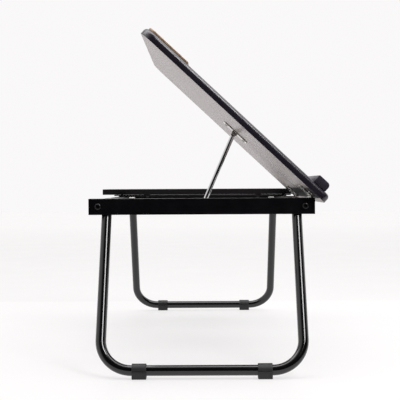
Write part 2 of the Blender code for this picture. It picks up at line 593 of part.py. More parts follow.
prof = [(0.0, 0.0013), (0.0020, 0.0011), (0.0033, 0.0004), (0.0033, 0.0), (0.0020, 0.0), (0.0020, -0.0126), (0.0028, -0.0126),
        (0.0028, -0.0134), (0.0, -0.0138)]
turned("prop_pin", prof, 12, at((PROP_U, PROP_Y + 0.0063, PROP_W), (0, 1, 0)), ZINC, tilt)

# the rod in the prop hub's frame: from the pin to the foot on the bar
foot = Vector((PROP_FX - HPX, 0, PROP_FZ - HPZ))
foot.rotate(Matrix.Rotation(-TILT, 3, 'Y'))
foot = foot - Vector((PROP_U, 0, PROP_W))
rod = placed(rods_mesh("prop_rod", [((0, 0, 0), tuple(foot), ROD_R)], 16), "prop_rod", Matrix.Identity(4))
finish(rod, CHROME, hub, smooth=40)
boolean(rod, cutter(rods_mesh("eye", [((0, -0.0041, 0), (0, 0.0041, 0), 0.0043)], 16), "rod_eye", parent=hub), 'UNION')
boolean(rod, cutter(rods_mesh("tee", [(tuple(foot + Vector((0, -0.0102, 0))), tuple(foot + Vector((0, 0.0102, 0))), 0.0026)], 12),
                    "rod_tee", parent=hub), 'UNION')
boolean(rod, cutter(rods_mesh("eye_hole", [((0, -0.02, 0), (0, 0.02, 0), 0.0023)], 12), "rod_eye_hole", parent=hub))
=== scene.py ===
import bpy
import bmesh
import json
from math import sin, cos, tan, radians, pi
from mathutils import Matrix, Vector


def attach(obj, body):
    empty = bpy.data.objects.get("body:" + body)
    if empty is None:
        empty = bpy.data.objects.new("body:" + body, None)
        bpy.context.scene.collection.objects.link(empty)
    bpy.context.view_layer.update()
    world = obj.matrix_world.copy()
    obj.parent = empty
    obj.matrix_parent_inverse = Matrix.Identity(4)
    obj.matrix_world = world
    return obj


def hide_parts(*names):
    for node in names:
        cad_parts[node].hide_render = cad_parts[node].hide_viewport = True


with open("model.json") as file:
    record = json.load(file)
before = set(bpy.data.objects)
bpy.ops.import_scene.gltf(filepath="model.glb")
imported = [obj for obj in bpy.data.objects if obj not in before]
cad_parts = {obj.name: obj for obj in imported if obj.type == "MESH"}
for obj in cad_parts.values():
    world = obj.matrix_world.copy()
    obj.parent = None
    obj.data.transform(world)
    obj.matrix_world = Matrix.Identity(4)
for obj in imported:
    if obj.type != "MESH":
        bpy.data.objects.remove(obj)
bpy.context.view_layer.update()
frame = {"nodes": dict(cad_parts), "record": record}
NODES = frame["nodes"]

# the object's own dimensions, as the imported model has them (metres)
FX, RT = 0.0013, 0.2650
TILT = radians(43.1)
PIN = Vector((FX + 0.1815, 0.0, RT - 0.0005))
DROP, BOARD_T = 0.0030, 0.0133
U0, U1, Y0, Y1 = -0.3830, 0.0145, -0.3000, 0.1520
SPLAY = radians(28.0)
PIVOT_Y, PIVOT_Z = 0.2710, RT - 0.0175
CROSS_Z = 0.0122
TUBE_R = 0.0080
LEG_HX, BEND = 0.1520, 0.0475
FOOT_X, FOOT_L = 0.0932, 0.0215
PROP_U, PROP_W, PROP_Y = -0.1680, -0.0035, -0.0740
BOARD_M = Matrix.Translation(PIN) @ Matrix.Rotation(TILT, 4, 'Y')      # board frame: u, y, w

SCENE = bpy.context.scene
SCENE.view_settings.view_transform = 'Standard'

# ================================================================ materials


def tree(name):
    m = bpy.data.materials.new(name)
    m.use_nodes = True
    nt = m.node_tree
    return m, nt, nt.nodes["Principled BSDF"]


def node(nt, kind, **props):
    n = nt.nodes.new(kind)
    for k, v in props.items():
        if k in n.inputs:
            n.inputs[k].default_value = v
        else:
            setattr(n, k, v)
    return n


def coords(nt, scale=(1, 1, 1), rot=(0, 0, 0)):
    tc = node(nt, "ShaderNodeTexCoord")
    mp = node(nt, "ShaderNodeMapping")
    mp.inputs["Scale"].default_value = scale
    mp.inputs["Rotation"].default_value = rot
    nt.links.new(tc.outputs["Object"], mp.inputs["Vector"])
    return mp.outputs["Vector"]


def noise(nt, vec, scale, detail=3.0, rough=0.55):
    n = node(nt, "ShaderNodeTexNoise")
    n.inputs["Scale"].default_value = scale
    n.inputs["Detail"].default_value = detail
    n.inputs["Roughness"].default_value = rough
    nt.links.new(vec, n.inputs["Vector"])
    return n.outputs["Fac"]


def ramp(nt, fac, stops):
    r = node(nt, "ShaderNodeValToRGB")
    els = r.color_ramp.elements
    while len(els) < len(stops):
        els.new(0.5)
    for e, (p, c) in zip(els, stops):
        e.position = p
        e.color = (*c, 1) if len(c) == 3 else c
    nt.links.new(fac, r.inputs["Fac"])
    return r.outputs["Color"]


def span(nt, fac, a0, a1, b0, b1):
    r = node(nt, "ShaderNodeMapRange")
    r.inputs["From Min"].default_value = a0
    r.inputs["From Max"].default_value = a1
    r.inputs["To Min"].default_value = b0
    r.inputs["To Max"].default_value = b1
    nt.links.new(fac, r.inputs["Value"])
    return r.outputs["Result"]


def mix(nt, fac, a, b):
    m = node(nt, "ShaderNodeMix", data_type='RGBA')
    if hasattr(fac, "links"):
        nt.links.new(fac, m.inputs[0])
    else:
        m.inputs[0].default_value = fac
    for sock, v in ((m.inputs[6], a), (m.inputs[7], b)):
        if hasattr(v, "links"):
            nt.links.new(v, sock)
        else:
            sock.default_value = (*v, 1)
    return m.outputs[2]


def bump(nt, b, height, strength, distance):
    n = node(nt, "ShaderNodeBump")
    n.inputs["Strength"].default_value = strength
    n.inputs["Distance"].default_value = distance
    nt.links.new(height, n.inputs["Height"])
    nt.links.new(n.outputs["Normal"], b.inputs["Normal"])


def edge_wear(nt, radius, lo, hi):
    """1 near an outer edge, 0 on the flats, from how far a rounded normal leaves the true one."""
    bv = node(nt, "ShaderNodeBevel", samples=4)
    bv.inputs["Radius"].default_value = radius
    g = node(nt, "ShaderNodeNewGeometry")
    d = node(nt, "ShaderNodeVectorMath", operation='DOT_PRODUCT')
    nt.links.new(bv.outputs["Normal"], d.inputs[0])
    nt.links.new(g.outputs["Normal"], d.inputs[1])
    return span(nt, d.outputs["Value"], hi, lo, 0.0, 1.0)


def coated(name, dark, light, rough, spec=0.5, coat=0.0, coat_rough=0.1, grain=900.0, grain_h=0.00002, blotch=18.0, wear=None, ior=1.5):
    """Paint, enamel or moulded plastic: blotches of tone, uneven gloss, fine surface grain, worn edges."""
    m, nt, b = tree(name)
    v = coords(nt)
    big = noise(nt, v, blotch, 4.0, 0.6)
    col = ramp(nt, big, [(0.30, dark), (0.72, light)])
    if wear:
        w = edge_wear(nt, 0.0012, 0.86, 0.985)
        scr = noise(nt, v, 160.0, 5.0, 0.7)
        amt = node(nt, "ShaderNodeMath", operation='MULTIPLY')
        nt.links.new(w, amt.inputs[0])
        nt.links.new(span(nt, scr, 0.45, 0.75, 0.0, 0.6), amt.inputs[1])
        col = mix(nt, amt.outputs[0], col, wear)
    nt.links.new(col, b.inputs["Base Color"])
    fine = noise(nt, v, 60.0, 4.0, 0.6)
    nt.links.new(span(nt, fine, 0.25, 0.75, rough - 0.05, rough + 0.06), b.inputs["Roughness"])
    g = noise(nt, v, grain, 2.0, 0.5)
    bump(nt, b, g, 0.5, grain_h)
    b.inputs["Specular IOR Level"].default_value = spec
    b.inputs["IOR"].default_value = ior
    b.inputs["Coat Weight"].default_value = coat
    b.inputs["Coat Roughness"].default_value = coat_rough
    return m


def metal(name, dark, light, rough, streak=(1, 1, 1), streak_scale=220.0, grain_h=0.000006, var=0.06):
    """Plated or bare metal: brushed streaks in tone, gloss and relief."""
    m, nt, b = tree(name)
    v = coords(nt)
    s = noise(nt, coords(nt, streak), streak_scale, 3.0, 0.6)
    big = noise(nt, v, 45.0, 4.0, 0.6)
    col = ramp(nt, big, [(0.3, dark), (0.7, light)])
    nt.links.new(col, b.inputs["Base Color"])
    b.inputs["Metallic"].default_value = 1.0
    nt.links.new(span(nt, s, 0.25, 0.75, rough - var, rough + var), b.inputs["Roughness"])
    bump(nt, b, s, 0.4, grain_h)
    return m


def laminate(name, dark, light, rough, spec, fleck, ior=1.5, grain_h=0.000012):
    """Smooth board laminate: a faint long grain, small flecks and uneven gloss."""
    m, nt, b = tree(name)
    v = coords(nt)
    vs = coords(nt, (1, 0.06, 1))
    grain = noise(nt, vs, 260.0, 4.0, 0.65)
    big = noise(nt, v, 9.0, 3.0, 0.5)
    col = ramp(nt, big, [(0.3, dark), (0.7, light)])
    fl = noise(nt, v, 700.0, 2.0, 0.5)
    col = mix(nt, span(nt, fl, 0.62, 0.75, 0.0, 0.18), col, fleck)
    col = mix(nt, span(nt, grain, 0.35, 0.7, 0.0, 0.15), col, dark)
    nt.links.new(col, b.inputs["Base Color"])
    nt.links.new(span(nt, big, 0.3, 0.7, rough - 0.02, rough + 0.03), b.inputs["Roughness"])
    bump(nt, b, grain, 0.3, grain_h)
    b.inputs["Specular IOR Level"].default_value = spec
    b.inputs["IOR"].default_value = ior
    return m


def wood(name):
    """Light brown wood: rings stretched along the plate, pores and slow tone changes."""
    m, nt, b = tree(name)
    v = coords(nt, (9.0, 1.1, 9.0))
    warp = noise(nt, coords(nt, (3, 0.6, 3)), 5.0, 3.0, 0.5)
    w = node(nt, "ShaderNodeTexWave", wave_type='BANDS', bands_direction='X', wave_profile='SAW')
    w.inputs["Scale"].default_value = 3.2
    w.inputs["Distortion"].default_value = 7.0
    w.inputs["Detail"].default_value = 4.0
    w.inputs["Detail Scale"].default_value = 1.3
    nt.links.new(v, w.inputs["Vector"])
    pores = noise(nt, coords(nt, (1, 0.05, 1)), 900.0, 3.0, 0.6)
    c1 = ramp(nt, w.outputs["Fac"], [(0.0, (0.42, 0.275, 0.165)), (0.55, (0.33, 0.205, 0.118)), (1.0, (0.20, 0.118, 0.064))])
    c2 = mix(nt, span(nt, warp, 0.3, 0.7, 0.0, 0.4), c1, (0.47, 0.33, 0.21))
    c3 = mix(nt, span(nt, pores, 0.58, 0.75, 0.0, 0.7), c2, (0.11, 0.062, 0.034))
    nt.links.new(c3, b.inputs["Base Color"])
    nt.links.new(span(nt, pores, 0.3, 0.7, 0.38, 0.55), b.inputs["Roughness"])
    bump(nt, b, pores, 0.5, 0.00003)
    return m


M_STEEL = coated("rail_powder_coat", (0.0016, 0.0013, 0.0022), (0.0026, 0.0021, 0.0034), 0.36, spec=0.30, grain=1100.0,
                 grain_h=0.000018, wear=(0.045, 0.045, 0.047))
M_TUBE = coated("leg_enamel", (0.0022, 0.0021, 0.0026), (0.0040, 0.0038, 0.0044), 0.13, spec=0.5, coat=0.35, coat_rough=0.06,
                grain=420.0, grain_h=0.000006)
# partly painted reflection: the underside's light pinkish-grey base and pinkish specular tint stand in for the warm
# floor and white backdrop it mirrors at a grazing angle; partly the laminate's own light tone
M_UNDER = laminate("board_underside_laminate", (0.315, 0.270, 0.262), (0.345, 0.298, 0.288), 0.28, 0.38, (0.37, 0.325, 0.315), grain_h=0.000002)
M_UNDER.node_tree.nodes["Principled BSDF"].inputs["Specular Tint"].default_value = (1.0, 0.93, 0.915, 1)
nt, b = M_UNDER.node_tree, M_UNDER.node_tree.nodes["Principled BSDF"]       # painted shade: a dark band along the hinge line, standing in for the shade and dark reflections near the hinge
along = node(nt, "ShaderNodeVectorMath", operation='DOT_PRODUCT')
nt.links.new(coords(nt), along.inputs[0])
along.inputs[1].default_value = (cos(TILT), 0.0, -sin(TILT))
off = PIN.x * cos(TILT) - PIN.z * sin(TILT)
hinge_shade_mask = node(nt, "ShaderNodeMath", operation='MULTIPLY')
nt.links.new(span(nt, along.outputs["Value"], off - 0.0212, off - 0.0204, 0.0, 1.0), hinge_shade_mask.inputs[0])
nt.links.new(span(nt, along.outputs["Value"], off + 0.0032, off + 0.0040, 1.0, 0.0), hinge_shade_mask.inputs[1])
hinge_shade_band = hinge_shade_mask.outputs[0]
# painted shade: the band's near-black colour replaces the laminate's own colour there
nt.links.new(mix(nt, hinge_shade_band, b.inputs["Base Color"].links[0].from_socket, (0.010, 0.0088, 0.0115)), b.inputs["Base Color"])
# the band is also made rougher, which dulls its reflections and deepens the painted shade
dull = node(nt, "ShaderNodeMath", operation='MULTIPLY_ADD')
nt.links.new(hinge_shade_band, dull.inputs[0])
dull.inputs[1].default_value = 0.32
nt.links.new(b.inputs["Roughness"].links[0].from_socket, dull.inputs[2])
nt.links.new(dull.outputs[0], b.inputs["Roughness"])
M_EDGE = coated("board_edge_band", (0.0135, 0.0100, 0.0185), (0.0200, 0.0155, 0.0260), 0.30, spec=0.80, grain=700.0, grain_h=0.00002,
                wear=(0.05, 0.047, 0.052))
M_SIDE_EDGE = coated("side_board_edge_band", (0.0120, 0.0105, 0.0125), (0.0165, 0.0148, 0.0170), 0.50, spec=0.25, grain=700.0,
                     grain_h=0.00002, wear=(0.035, 0.033, 0.036))
M_TOP = laminate("board_top_laminate", (0.017, 0.0165, 0.018), (0.027, 0.026, 0.028), 0.36, 0.4, (0.055, 0.053, 0.055))
M_SIDEU = laminate("side_board_underside", (0.020, 0.019, 0.020), (0.030, 0.029, 0.030), 0.40, 0.4, (0.05, 0.05, 0.05))
M_LIP = coated("stop_bar_plastic", (0.036, 0.0295, 0.0435), (0.048, 0.0400, 0.0565), 0.28, spec=0.60, grain=1300.0, grain_h=0.00003)
M_WOOD = wood("rear_plate_wood")
M_NICKEL = metal("nickel_plate", (0.55, 0.54, 0.51), (0.70, 0.69, 0.66), 0.22, (1, 0.04, 1), 500.0)
M_CHROME = metal("chrome_plate", (0.60, 0.60, 0.61), (0.68, 0.68, 0.68), 0.12, (1, 1, 1), 90.0, 0.0000003, 0.03)
M_ZINC = metal("zinc_plate", (0.38, 0.38, 0.37), (0.52, 0.51, 0.49), 0.34, (1, 1, 1), 400.0)
M_BOLT = metal("black_oxide", (0.030, 0.030, 0.033), (0.055, 0.054, 0.058), 0.40, (1, 1, 1), 400.0)
M_FOOT = coated("foot_plastic", (0.012, 0.012, 0.0125), (0.020, 0.020, 0.0208), 0.50, spec=0.45, grain=1500.0, grain_h=0.00004)
M_PAD = coated("pad_rubber", (0.70, 0.69, 0.67), (0.78, 0.77, 0.75), 0.42, spec=0.4, grain=900.0)
M_NYLON = coated("bush_nylon", (0.010, 0.010, 0.011), (0.016, 0.016, 0.017), 0.44, spec=0.4, grain=1200.0)

# ================================================================ mesh helpers


def new_piece(name, me, mats, body, replaces=(), smooth=None):
    ob = bpy.data.objects.new(name, me)
    SCENE.collection.objects.link(ob)
    mats = mats if isinstance(mats, (list, tuple)) else [mats]
    while len(me.materials) < len(mats):
        me.materials.append(None)
    for i, m in enumerate(mats):
        me.materials[i] = m
    if smooth is not None:
        me.shade_smooth()
        me.set_sharp_from_angle(angle=radians(smooth))
    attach(ob, body)
    if replaces:
        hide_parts(*replaces)
    return ob


def bevel(ob, width, segments=2, angle=35.0):
    m = ob.modifiers.new("edges", 'BEVEL')
    m.width = width
    m.segments = segments
    m.limit_method = 'ANGLE'
    m.angle_limit = radians(angle)
    m.harden_normals = True
    m.use_clamp_overlap = True
    return m


BODY_OF = {n: b for b, ns in frame["record"]["behaviour"]["bodies"].items() for n in ns}


def refine(name, mat, width=0.0004, segments=2, smooth=32.0):
    """The CAD piece's own shape as one welded mesh with softened edges."""
    src = NODES[name]
    me = src.data.copy()
    me.name = name + "_fine"
    bm = bmesh.new()
    bm.from_mesh(me)
    bmesh.ops.remove_doubles(bm, verts=bm.verts, dist=2e-6)
    bmesh.ops.dissolve_limit(bm, angle_limit=radians(0.6), verts=bm.verts, edges=bm.edges)
    bmesh.ops.recalc_face_normals(bm, faces=bm.faces)
    bm.to_mesh(me)
    bm.free()
    for a in [a.name for a in me.attributes if a.name == "custom_normal"]:
        me.attributes.remove(me.attributes[a])
    ob = new_piece("v_" + name, me, mat, BODY_OF[name], [name], smooth)
    if width:
        bevel(ob, width, segments)
    return ob


def loft(name, rings, cap0=True, cap1=True, side_mat=0, cap0_mat=0, cap1_mat=0, side_mats=None):
    """A closed solid through rings of equally many points."""
    bm = bmesh.new()
    rows = [[bm.verts.new(p) for p in ring] for ring in rings]
    n = len(rows[0])
    for j, (a, b) in enumerate(zip(rows, rows[1:])):
        for i in range(n):
            f = bm.faces.new((a[i], a[(i + 1) % n], b[(i + 1) % n], b[i]))
            f.material_index = side_mats[j] if side_mats else side_mat
            f.smooth = True
    if cap0:
        f = bm.faces.new(list(reversed(rows[0])))
        f.material_index = cap0_mat
    if cap1:
        f = bm.faces.new(rows[-1])
        f.material_index = cap1_mat
    bmesh.ops.recalc_face_normals(bm, faces=bm.faces)
    me = bpy.data.meshes.new(name)
    bm.to_mesh(me)
    bm.free()
    return me


def tube_mesh(name, pts, r_out, r_in, segs=40):
    """A hollow tube swept along points, open at both ends like a sawn tube."""
    pts = [Vector(p) for p in pts]
    t = [(pts[min(i + 1, len(pts) - 1)] - pts[max(i - 1, 0)]).normalized() for i in range(len(pts))]
    side = Vector((1, 0, 0)) if abs(t[0].x) < 0.9 else Vector((0, 1, 0))
    n = (side - t[0] * side.dot(t[0])).normalized()
    outer, inner = [], []
    for p, d in zip(pts, t):
        n = (n - d * n.dot(d)).normalized()
        b = d.cross(n)
        outer.append([p + (n * cos(2 * pi * k / segs) + b * sin(2 * pi * k / segs)) * r_out for k in range(segs)])
        inner.append([p + (n * cos(2 * pi * k / segs) + b * sin(2 * pi * k / segs)) * r_in for k in range(segs)])
    rings = outer + list(reversed(inner))
    bm = bmesh.new()
    rows = [[bm.verts.new(p) for p in ring] for ring in rings]
    m = len(rows)
    for j in range(m):
        a, c = rows[j], rows[(j + 1) % m]
        for i in range(segs):
            f = bm.faces.new((a[i], a[(i + 1) % segs], c[(i + 1) % segs], c[i]))
            f.smooth = True
    bmesh.ops.recalc_face_normals(bm, faces=bm.faces)
    me = bpy.data.meshes.new(name)
    bm.to_mesh(me)
    bm.free()
    return me


def lathe(name, profile, segs, matrix):
    """A turned solid: (radius, height) pairs that start and end on the axis."""
    bm = bmesh.new()
    rows = []
    for r, z in profile:
        if r < 1e-7:
            rows.append([bm.verts.new(matrix @ Vector((0, 0, z)))])
        else:
            rows.append([bm.verts.new(matrix @ Vector((r * cos(2 * pi * k / segs), r * sin(2 * pi * k / segs), z))) for k in range(segs)])
    for a, b in zip(rows, rows[1:]):
        for i in range(segs):
            j = (i + 1) % segs
            if len(a) == 1:
                bm.faces.new((a[0], b[j], b[i]))
            elif len(b) == 1:
                bm.faces.new((a[i], a[j], b[0]))
            else:
                bm.faces.new((a[i], a[j], b[j], b[i]))
    bmesh.ops.recalc_face_normals(bm, faces=bm.faces)
    me = bpy.data.meshes.new(name)
    bm.to_mesh(me)
    bm.free()
    return me


def carve(me, tool, op='DIFFERENCE'):
    """Boolean of two meshes, returned as a new mesh; both inputs are used up."""
    a = bpy.data.objects.new("carve_a", me)
    b = bpy.data.objects.new("carve_b", tool)
    SCENE.collection.objects.link(a)
    SCENE.collection.objects.link(b)
    m = a.modifiers.new("b", 'BOOLEAN')
    m.operation = op
    m.solver = 'EXACT'
    m.object = b
    bpy.context.view_layer.update()
    out = bpy.data.meshes.new_from_object(a.evaluated_get(bpy.context.evaluated_depsgraph_get()))
    bpy.data.objects.remove(a, do_unlink=True)
    bpy.data.objects.remove(b, do_unlink=True)
    return out


def prism(name, sides, r, z0, z1, matrix, turn=0.0):
    ring = lambda z: [matrix @ Vector((r * cos(turn + 2 * pi * k / sides), r * sin(turn + 2 * pi * k / sides), z)) for k in range(sides)]
    return loft(name, [ring(z0), ring(z1)])


def block(name, lo, hi, matrix):
    ring = lambda z: [matrix @ Vector(p) for p in ((lo[0], lo[1], z), (hi[0], lo[1], z), (hi[0], hi[1], z), (lo[0], hi[1], z))]
    return loft(name, [ring(lo[2]), ring(hi[2])])


def rounded(x0, y0, x1, y1, radii, n=12):
    pts = []
    for (cx, cy, sx, sy, a0), r in zip(((x0, y0, 1, 1, pi), (x1, y0, -1, 1, 1.5 * pi),
                                        (x1, y1, -1, -1, 0.0), (x0, y1, 1, -1, 0.5 * pi)), radii):
        r = max(r, 0.0002)
        for i in range(n + 1):
            a = a0 + 0.5 * pi * i / n
            pts.append((cx + sx * r + r * cos(a), cy + sy * r + r * sin(a)))
    return pts


def aim(p, d):
    return Matrix.Translation(Vector(p)) @ Vector(d).to_track_quat('Z', 'Y').to_matrix().to_4x4()


def catmull(p, q, n):
    return [p.lerp(q, i / n) for i in range(n)]


# ================================================================ frame and small CAD pieces
for n in ("left_side_rail", "right_side_rail", "front_rail", "rear_rail"):
    refine(n, M_STEEL, 0.00045, 3)
refine("notched_bar", M_STEEL, 0.0003, 2)
refine("board_bar", M_STEEL, 0.0003, 2)
for n in ("rail_pad_front", "rail_pad_rear"):
    refine(n, M_PAD, 0.0003, 3, 50)
for n in NODES:
    if n.startswith("hinge_frame_leaf") or n.startswith("hinge_board_leaf"):
        refine(n, M_NICKEL, 0.0002, 2)
    elif n.startswith(("hinge_pin", "prop_pin")):
        refine(n, M_NICKEL, 0.0001, 1, 50)
    elif n.startswith("board_screw"):
        refine(n, M_BOLT, 0.0002, 2, 40)
    elif n.startswith(("bar_rivet", "stop_bar_screw", "pivot_nut")):
        refine(n, M_ZINC, 0.0002, 2, 40)
    elif n.startswith("pivot_bush"):
        refine(n, M_NYLON, 0.0003, 2, 45)
    elif n.startswith("board_spacer") or "_leg_plug_" in n:
        refine(n, M_FOOT, 0.0002, 2, 45)


# ================================================================ button-head bolts with hex sockets
def button(name, p, out, head_r, head_h, shank_r, shank, socket, mat, body, replaces):
    """Head's underside at p, the head towards out."""
    M = aim(p, out)
    dome = [(head_r * 0.50, head_h)]
    for i in range(1, 9):
        a = radians(90 * i / 8)
        dome.append((head_r * 0.50 + head_r * 0.50 * sin(a), head_h * 0.30 + head_h * 0.70 * cos(a)))
    prof = [(0, head_h)] + dome + [(head_r, head_h * 0.10), (head_r * 0.97, 0.0), (shank_r, 0.0)]
    z = -0.0008
    while z > -shank + 0.0012:                        # thread ridges on the shank
        prof += [(shank_r, z), (shank_r - 0.00035, z - 0.0005)]
        z -= 0.0010
    prof += [(shank_r - 0.0003, -shank + 0.0004), (shank_r - 0.0009, -shank), (0, -shank)]
    me = lathe(name, prof, 44, M)
    me = carve(me, prism("hex", 6, socket, head_h * 0.25, head_h * 1.6, M, radians(12)))
    ob = new_piece(name, me, mat, body, replaces, 32)
    return ob


for k, side in ((-1, "left"), (1, "right")):
    for s, end in ((1, "front"), (-1, "rear")):
        cn = "corner_bolt_%s_%s" % (side, end)
        button("v_" + cn, (FX + s * 0.1648, k * 0.2872, RT - 0.0126), (0, k, 0), 0.0052, 0.0029, 0.0030, 0.0071, 0.0026, M_BOLT, "frame", [cn])
        pn = "pivot_bolt_%s_%s" % (side, end)
        button("v_" + pn, (FX + s * 0.1787, k * PIVOT_Y, PIVOT_Z), (s, 0, 0), 0.0050, 0.0022, 0.0030, 0.0410, 0.0023, M_BOLT, "frame", [pn])

# ================================================================ legs
LEG_LEN = (PIVOT_Z - CROSS_Z) / cos(SPLAY)


def leg_points():
    pts = [Vector((-LEG_HX, 0, 0.0055))]
    a, b = Vector((-LEG_HX, 0, 0.0)), Vector((-LEG_HX, 0, -(LEG_LEN - BEND)))
    pts += [a.lerp(b, i / 8) for i in range(9)]
    n = 20
    for i in range(1, n):
        t = pi / 2 * i / n
        pts.append(Vector((-LEG_HX + BEND * (1 - cos(t)), 0, -(LEG_LEN - BEND) - BEND * sin(t))))
    pts.append(Vector((-LEG_HX + BEND, 0, -LEG_LEN)))
    mirror = [Vector((-p.x, p.y, p.z)) for p in reversed(pts)]
    return pts + [Vector((0, 0, -LEG_LEN))] + mirror


for k, side in ((-1, "left"), (1, "right")):
    HUB = Matrix.Translation((FX, k * PIVOT_Y, PIVOT_Z)) @ Matrix.Rotation(k * SPLAY, 4, 'X')
    me = tube_mesh(side + "_tube", [HUB @ p for p in leg_points()], TUBE_R, TUBE_R - 0.0012)
    for s in (-1, 1):                                       # the pivot bolt's holes
        me = carve(me, prism("hole", 32, 0.0033, -0.012, 0.012, HUB @ aim((s * LEG_HX, 0, 0), (1, 0, 0))))
    new_piece("v_%s_leg_tube" % side, me, M_TUBE, side + "_leg", [side + "_leg_tube"], 30)

    # clip feet: a saddle with a flat sole, and a strap that closes over the tube
    for s, end in ((1, "front"), (-1, "rear")):
        C = HUB @ Vector((s * FOOT_X, 0, -LEG_LEN))
        RI, RO = TUBE_R + 0.00025, 0.0100

        def shell(name, lower):
            n = 28
            ring = []
            split = 0.00025
            if lower:
                a0, a1 = pi, 2 * pi
                inner = [(RI * cos(a0 + (a1 - a0) * i / n), RI * sin(a0 + (a1 - a0) * i / n) - split) for i in range(n + 1)]
                outer = [(RO + 0.0002, -split), (RO + 0.0002, -0.0042), (0.0090, -0.0072), (0.0084, -0.0112), (0.0076, -CROSS_Z),
                         (-0.0076, -CROSS_Z), (-0.0084, -0.0112), (-0.0090, -0.0072), (-RO - 0.0002, -0.0042), (-RO - 0.0002, -split)]
                loop = inner + outer
            else:
                inner = [(RI * cos(pi * i / n), RI * sin(pi * i / n) + split) for i in range(n + 1)]
                outer = [(RO * cos(pi * i / n), RO * sin(pi * i / n) + split) for i in range(n, -1, -1)]
                loop = inner + outer
            rings = []
            for x in (-FOOT_L / 2, FOOT_L / 2):
                rings.append([Vector((C.x + x, C.y + y, C.z + z)) for y, z in loop])
            return loft(name, rings)

        low = new_piece("v_%s_foot_%s_saddle" % (side, end), shell("saddle", True), M_FOOT, side + "_leg",
                        ["%s_foot_%s" % (side, end)], 30)
        bevel(low, 0.0007, 3, 50)
        up = new_piece("v_%s_foot_%s_strap" % (side, end), shell("strap", False), M_FOOT, side + "_leg", [], 30)
        bevel(up, 0.0005, 3, 50)

# ================================================================ boards


def board(name, x0, y0, x1, y1, radii, thick, top_r, matrix, mats, body, replaces, low_r=0.0006):
    rings, sides = [], []

    def ring(d, z):
        rings.append([matrix @ Vector((x, y, z)) for x, y in rounded(x0 + d, y0 + d, x1 - d, y1 - d, [r - d for r in radii])])

    ring(low_r + 0.0006, 0.0)
    ring(low_r, 0.0)
    for i in range(1, 5):
        a = radians(90 * i / 4)
        ring(low_r * (1 - sin(a)), low_r * (1 - cos(a)))
    ring(0.0, thick * 0.35)
    ring(0.0, thick - top_r)
    n = 8
    for i in range(1, n + 1):
        a = radians(90 * i / n)
        ring(top_r * (1 - cos(a)), thick - top_r * (1 - sin(a)))
    ring(top_r + 0.0006, thick)
    sides = [1] * (len(rings) - 1)
    sides[0] = 0
    me = loft(name, rings, cap0_mat=0, cap1_mat=2, side_mats=sides)
    return new_piece(name, me, mats, body, replaces, 40)


tb = board("v_tilting_board", U0, Y0, U1, Y1, (0.027, 0.011, 0.004, 0.027), BOARD_T, 0.0063, BOARD_M @ Matrix.Translation((0, 0, DROP)),
           [M_UNDER, M_EDGE, M_TOP], "tilt_top", ["tilting_board"])
sb = board("v_side_board", FX - 0.2045, 0.1545, FX + 0.1955, 0.3000, (0.0016, 0.0016, 0.025, 0.025), 0.0112, 0.0010,
           Matrix.Translation((0, 0, RT + 0.0023)), [M_SIDEU, M_SIDE_EDGE, M_TOP], "frame", ["side_board"])

# ================================================================ stop bar with a softened nose and a shadow line
w0, w1 = DROP + BOARD_T + 0.0003, DROP + BOARD_T + 0.0140
u0, u1 = -0.0213, 0.0029
prof = [(u0 + 0.0004, w0), (u1 - 0.0006, w0)]
for i in range(5):
    a = radians(-90 + 90 * i / 4)
    prof.append((u1 - 0.0006 + 0.0006 * cos(a), w0 + 0.0006 + 0.0006 * sin(a)))
for i in range(15):
    a = radians(90 * i / 14)
    prof.append((u1 - 0.0065 + 0.0065 * cos(a), w1 - 0.0065 + 0.0065 * sin(a)))
for i in range(7):
    a = radians(90 + 90 * i / 6)
    prof.append((u0 + 0.0014 + 0.0014 * cos(a), w1 - 0.0014 + 0.0014 * sin(a)))
prof.append((u0, w0 + 0.0004))
cu, cw = (u0 + u1) / 2, (w0 + w1) / 2
ly0, ly1 = Y0 + 0.0035, Y1 - 0.0035
rings = []
for y, d in ((ly0, 0.0007), (ly0 + 0.0002, 0.0003), (ly0 + 0.0007, 0.0), (ly1 - 0.0007, 0.0), (ly1 - 0.0002, 0.0003), (ly1, 0.0007)):
    sx, sz = 1 - 2 * d / (u1 - u0), 1 - 2 * d / (w1 - w0)
    rings.append([BOARD_M @ Vector((cu + (u - cu) * sx, y, cw + (w - cw) * sz)) for u, w in prof])
new_piece("v_stop_bar", loft("stop_bar", rings), M_LIP, "tilt_top", ["stop_bar"], 38)

# ================================================================ raised wooden plate
me = None
rings = []
PM = BOARD_M @ Matrix.Translation((0, 0, DROP + BOARD_T + 0.0003))
px0, py0, px1, py1 = U0 + 0.0045, Y0 + 0.0100, U0 + 0.0890, Y1 - 0.0100
for d, z in ((0.0003, 0.0), (0.0, 0.0003), (0.0, 0.0024), (0.0001, 0.0029), (0.0004, 0.0033), (0.0008, 0.0035), (0.0013, 0.0036)):
    rings.append([PM @ Vector((x, y, z)) for x, y in rounded(px0 + d, py0 + d, px1 - d, py1 - d, (0.018 - d, 0.003 - d, 0.003 - d, 0.018 - d))])
new_piece("v_rear_plate", loft("rear_plate", rings), M_WOOD, "tilt_top", ["rear_plate"], 40)

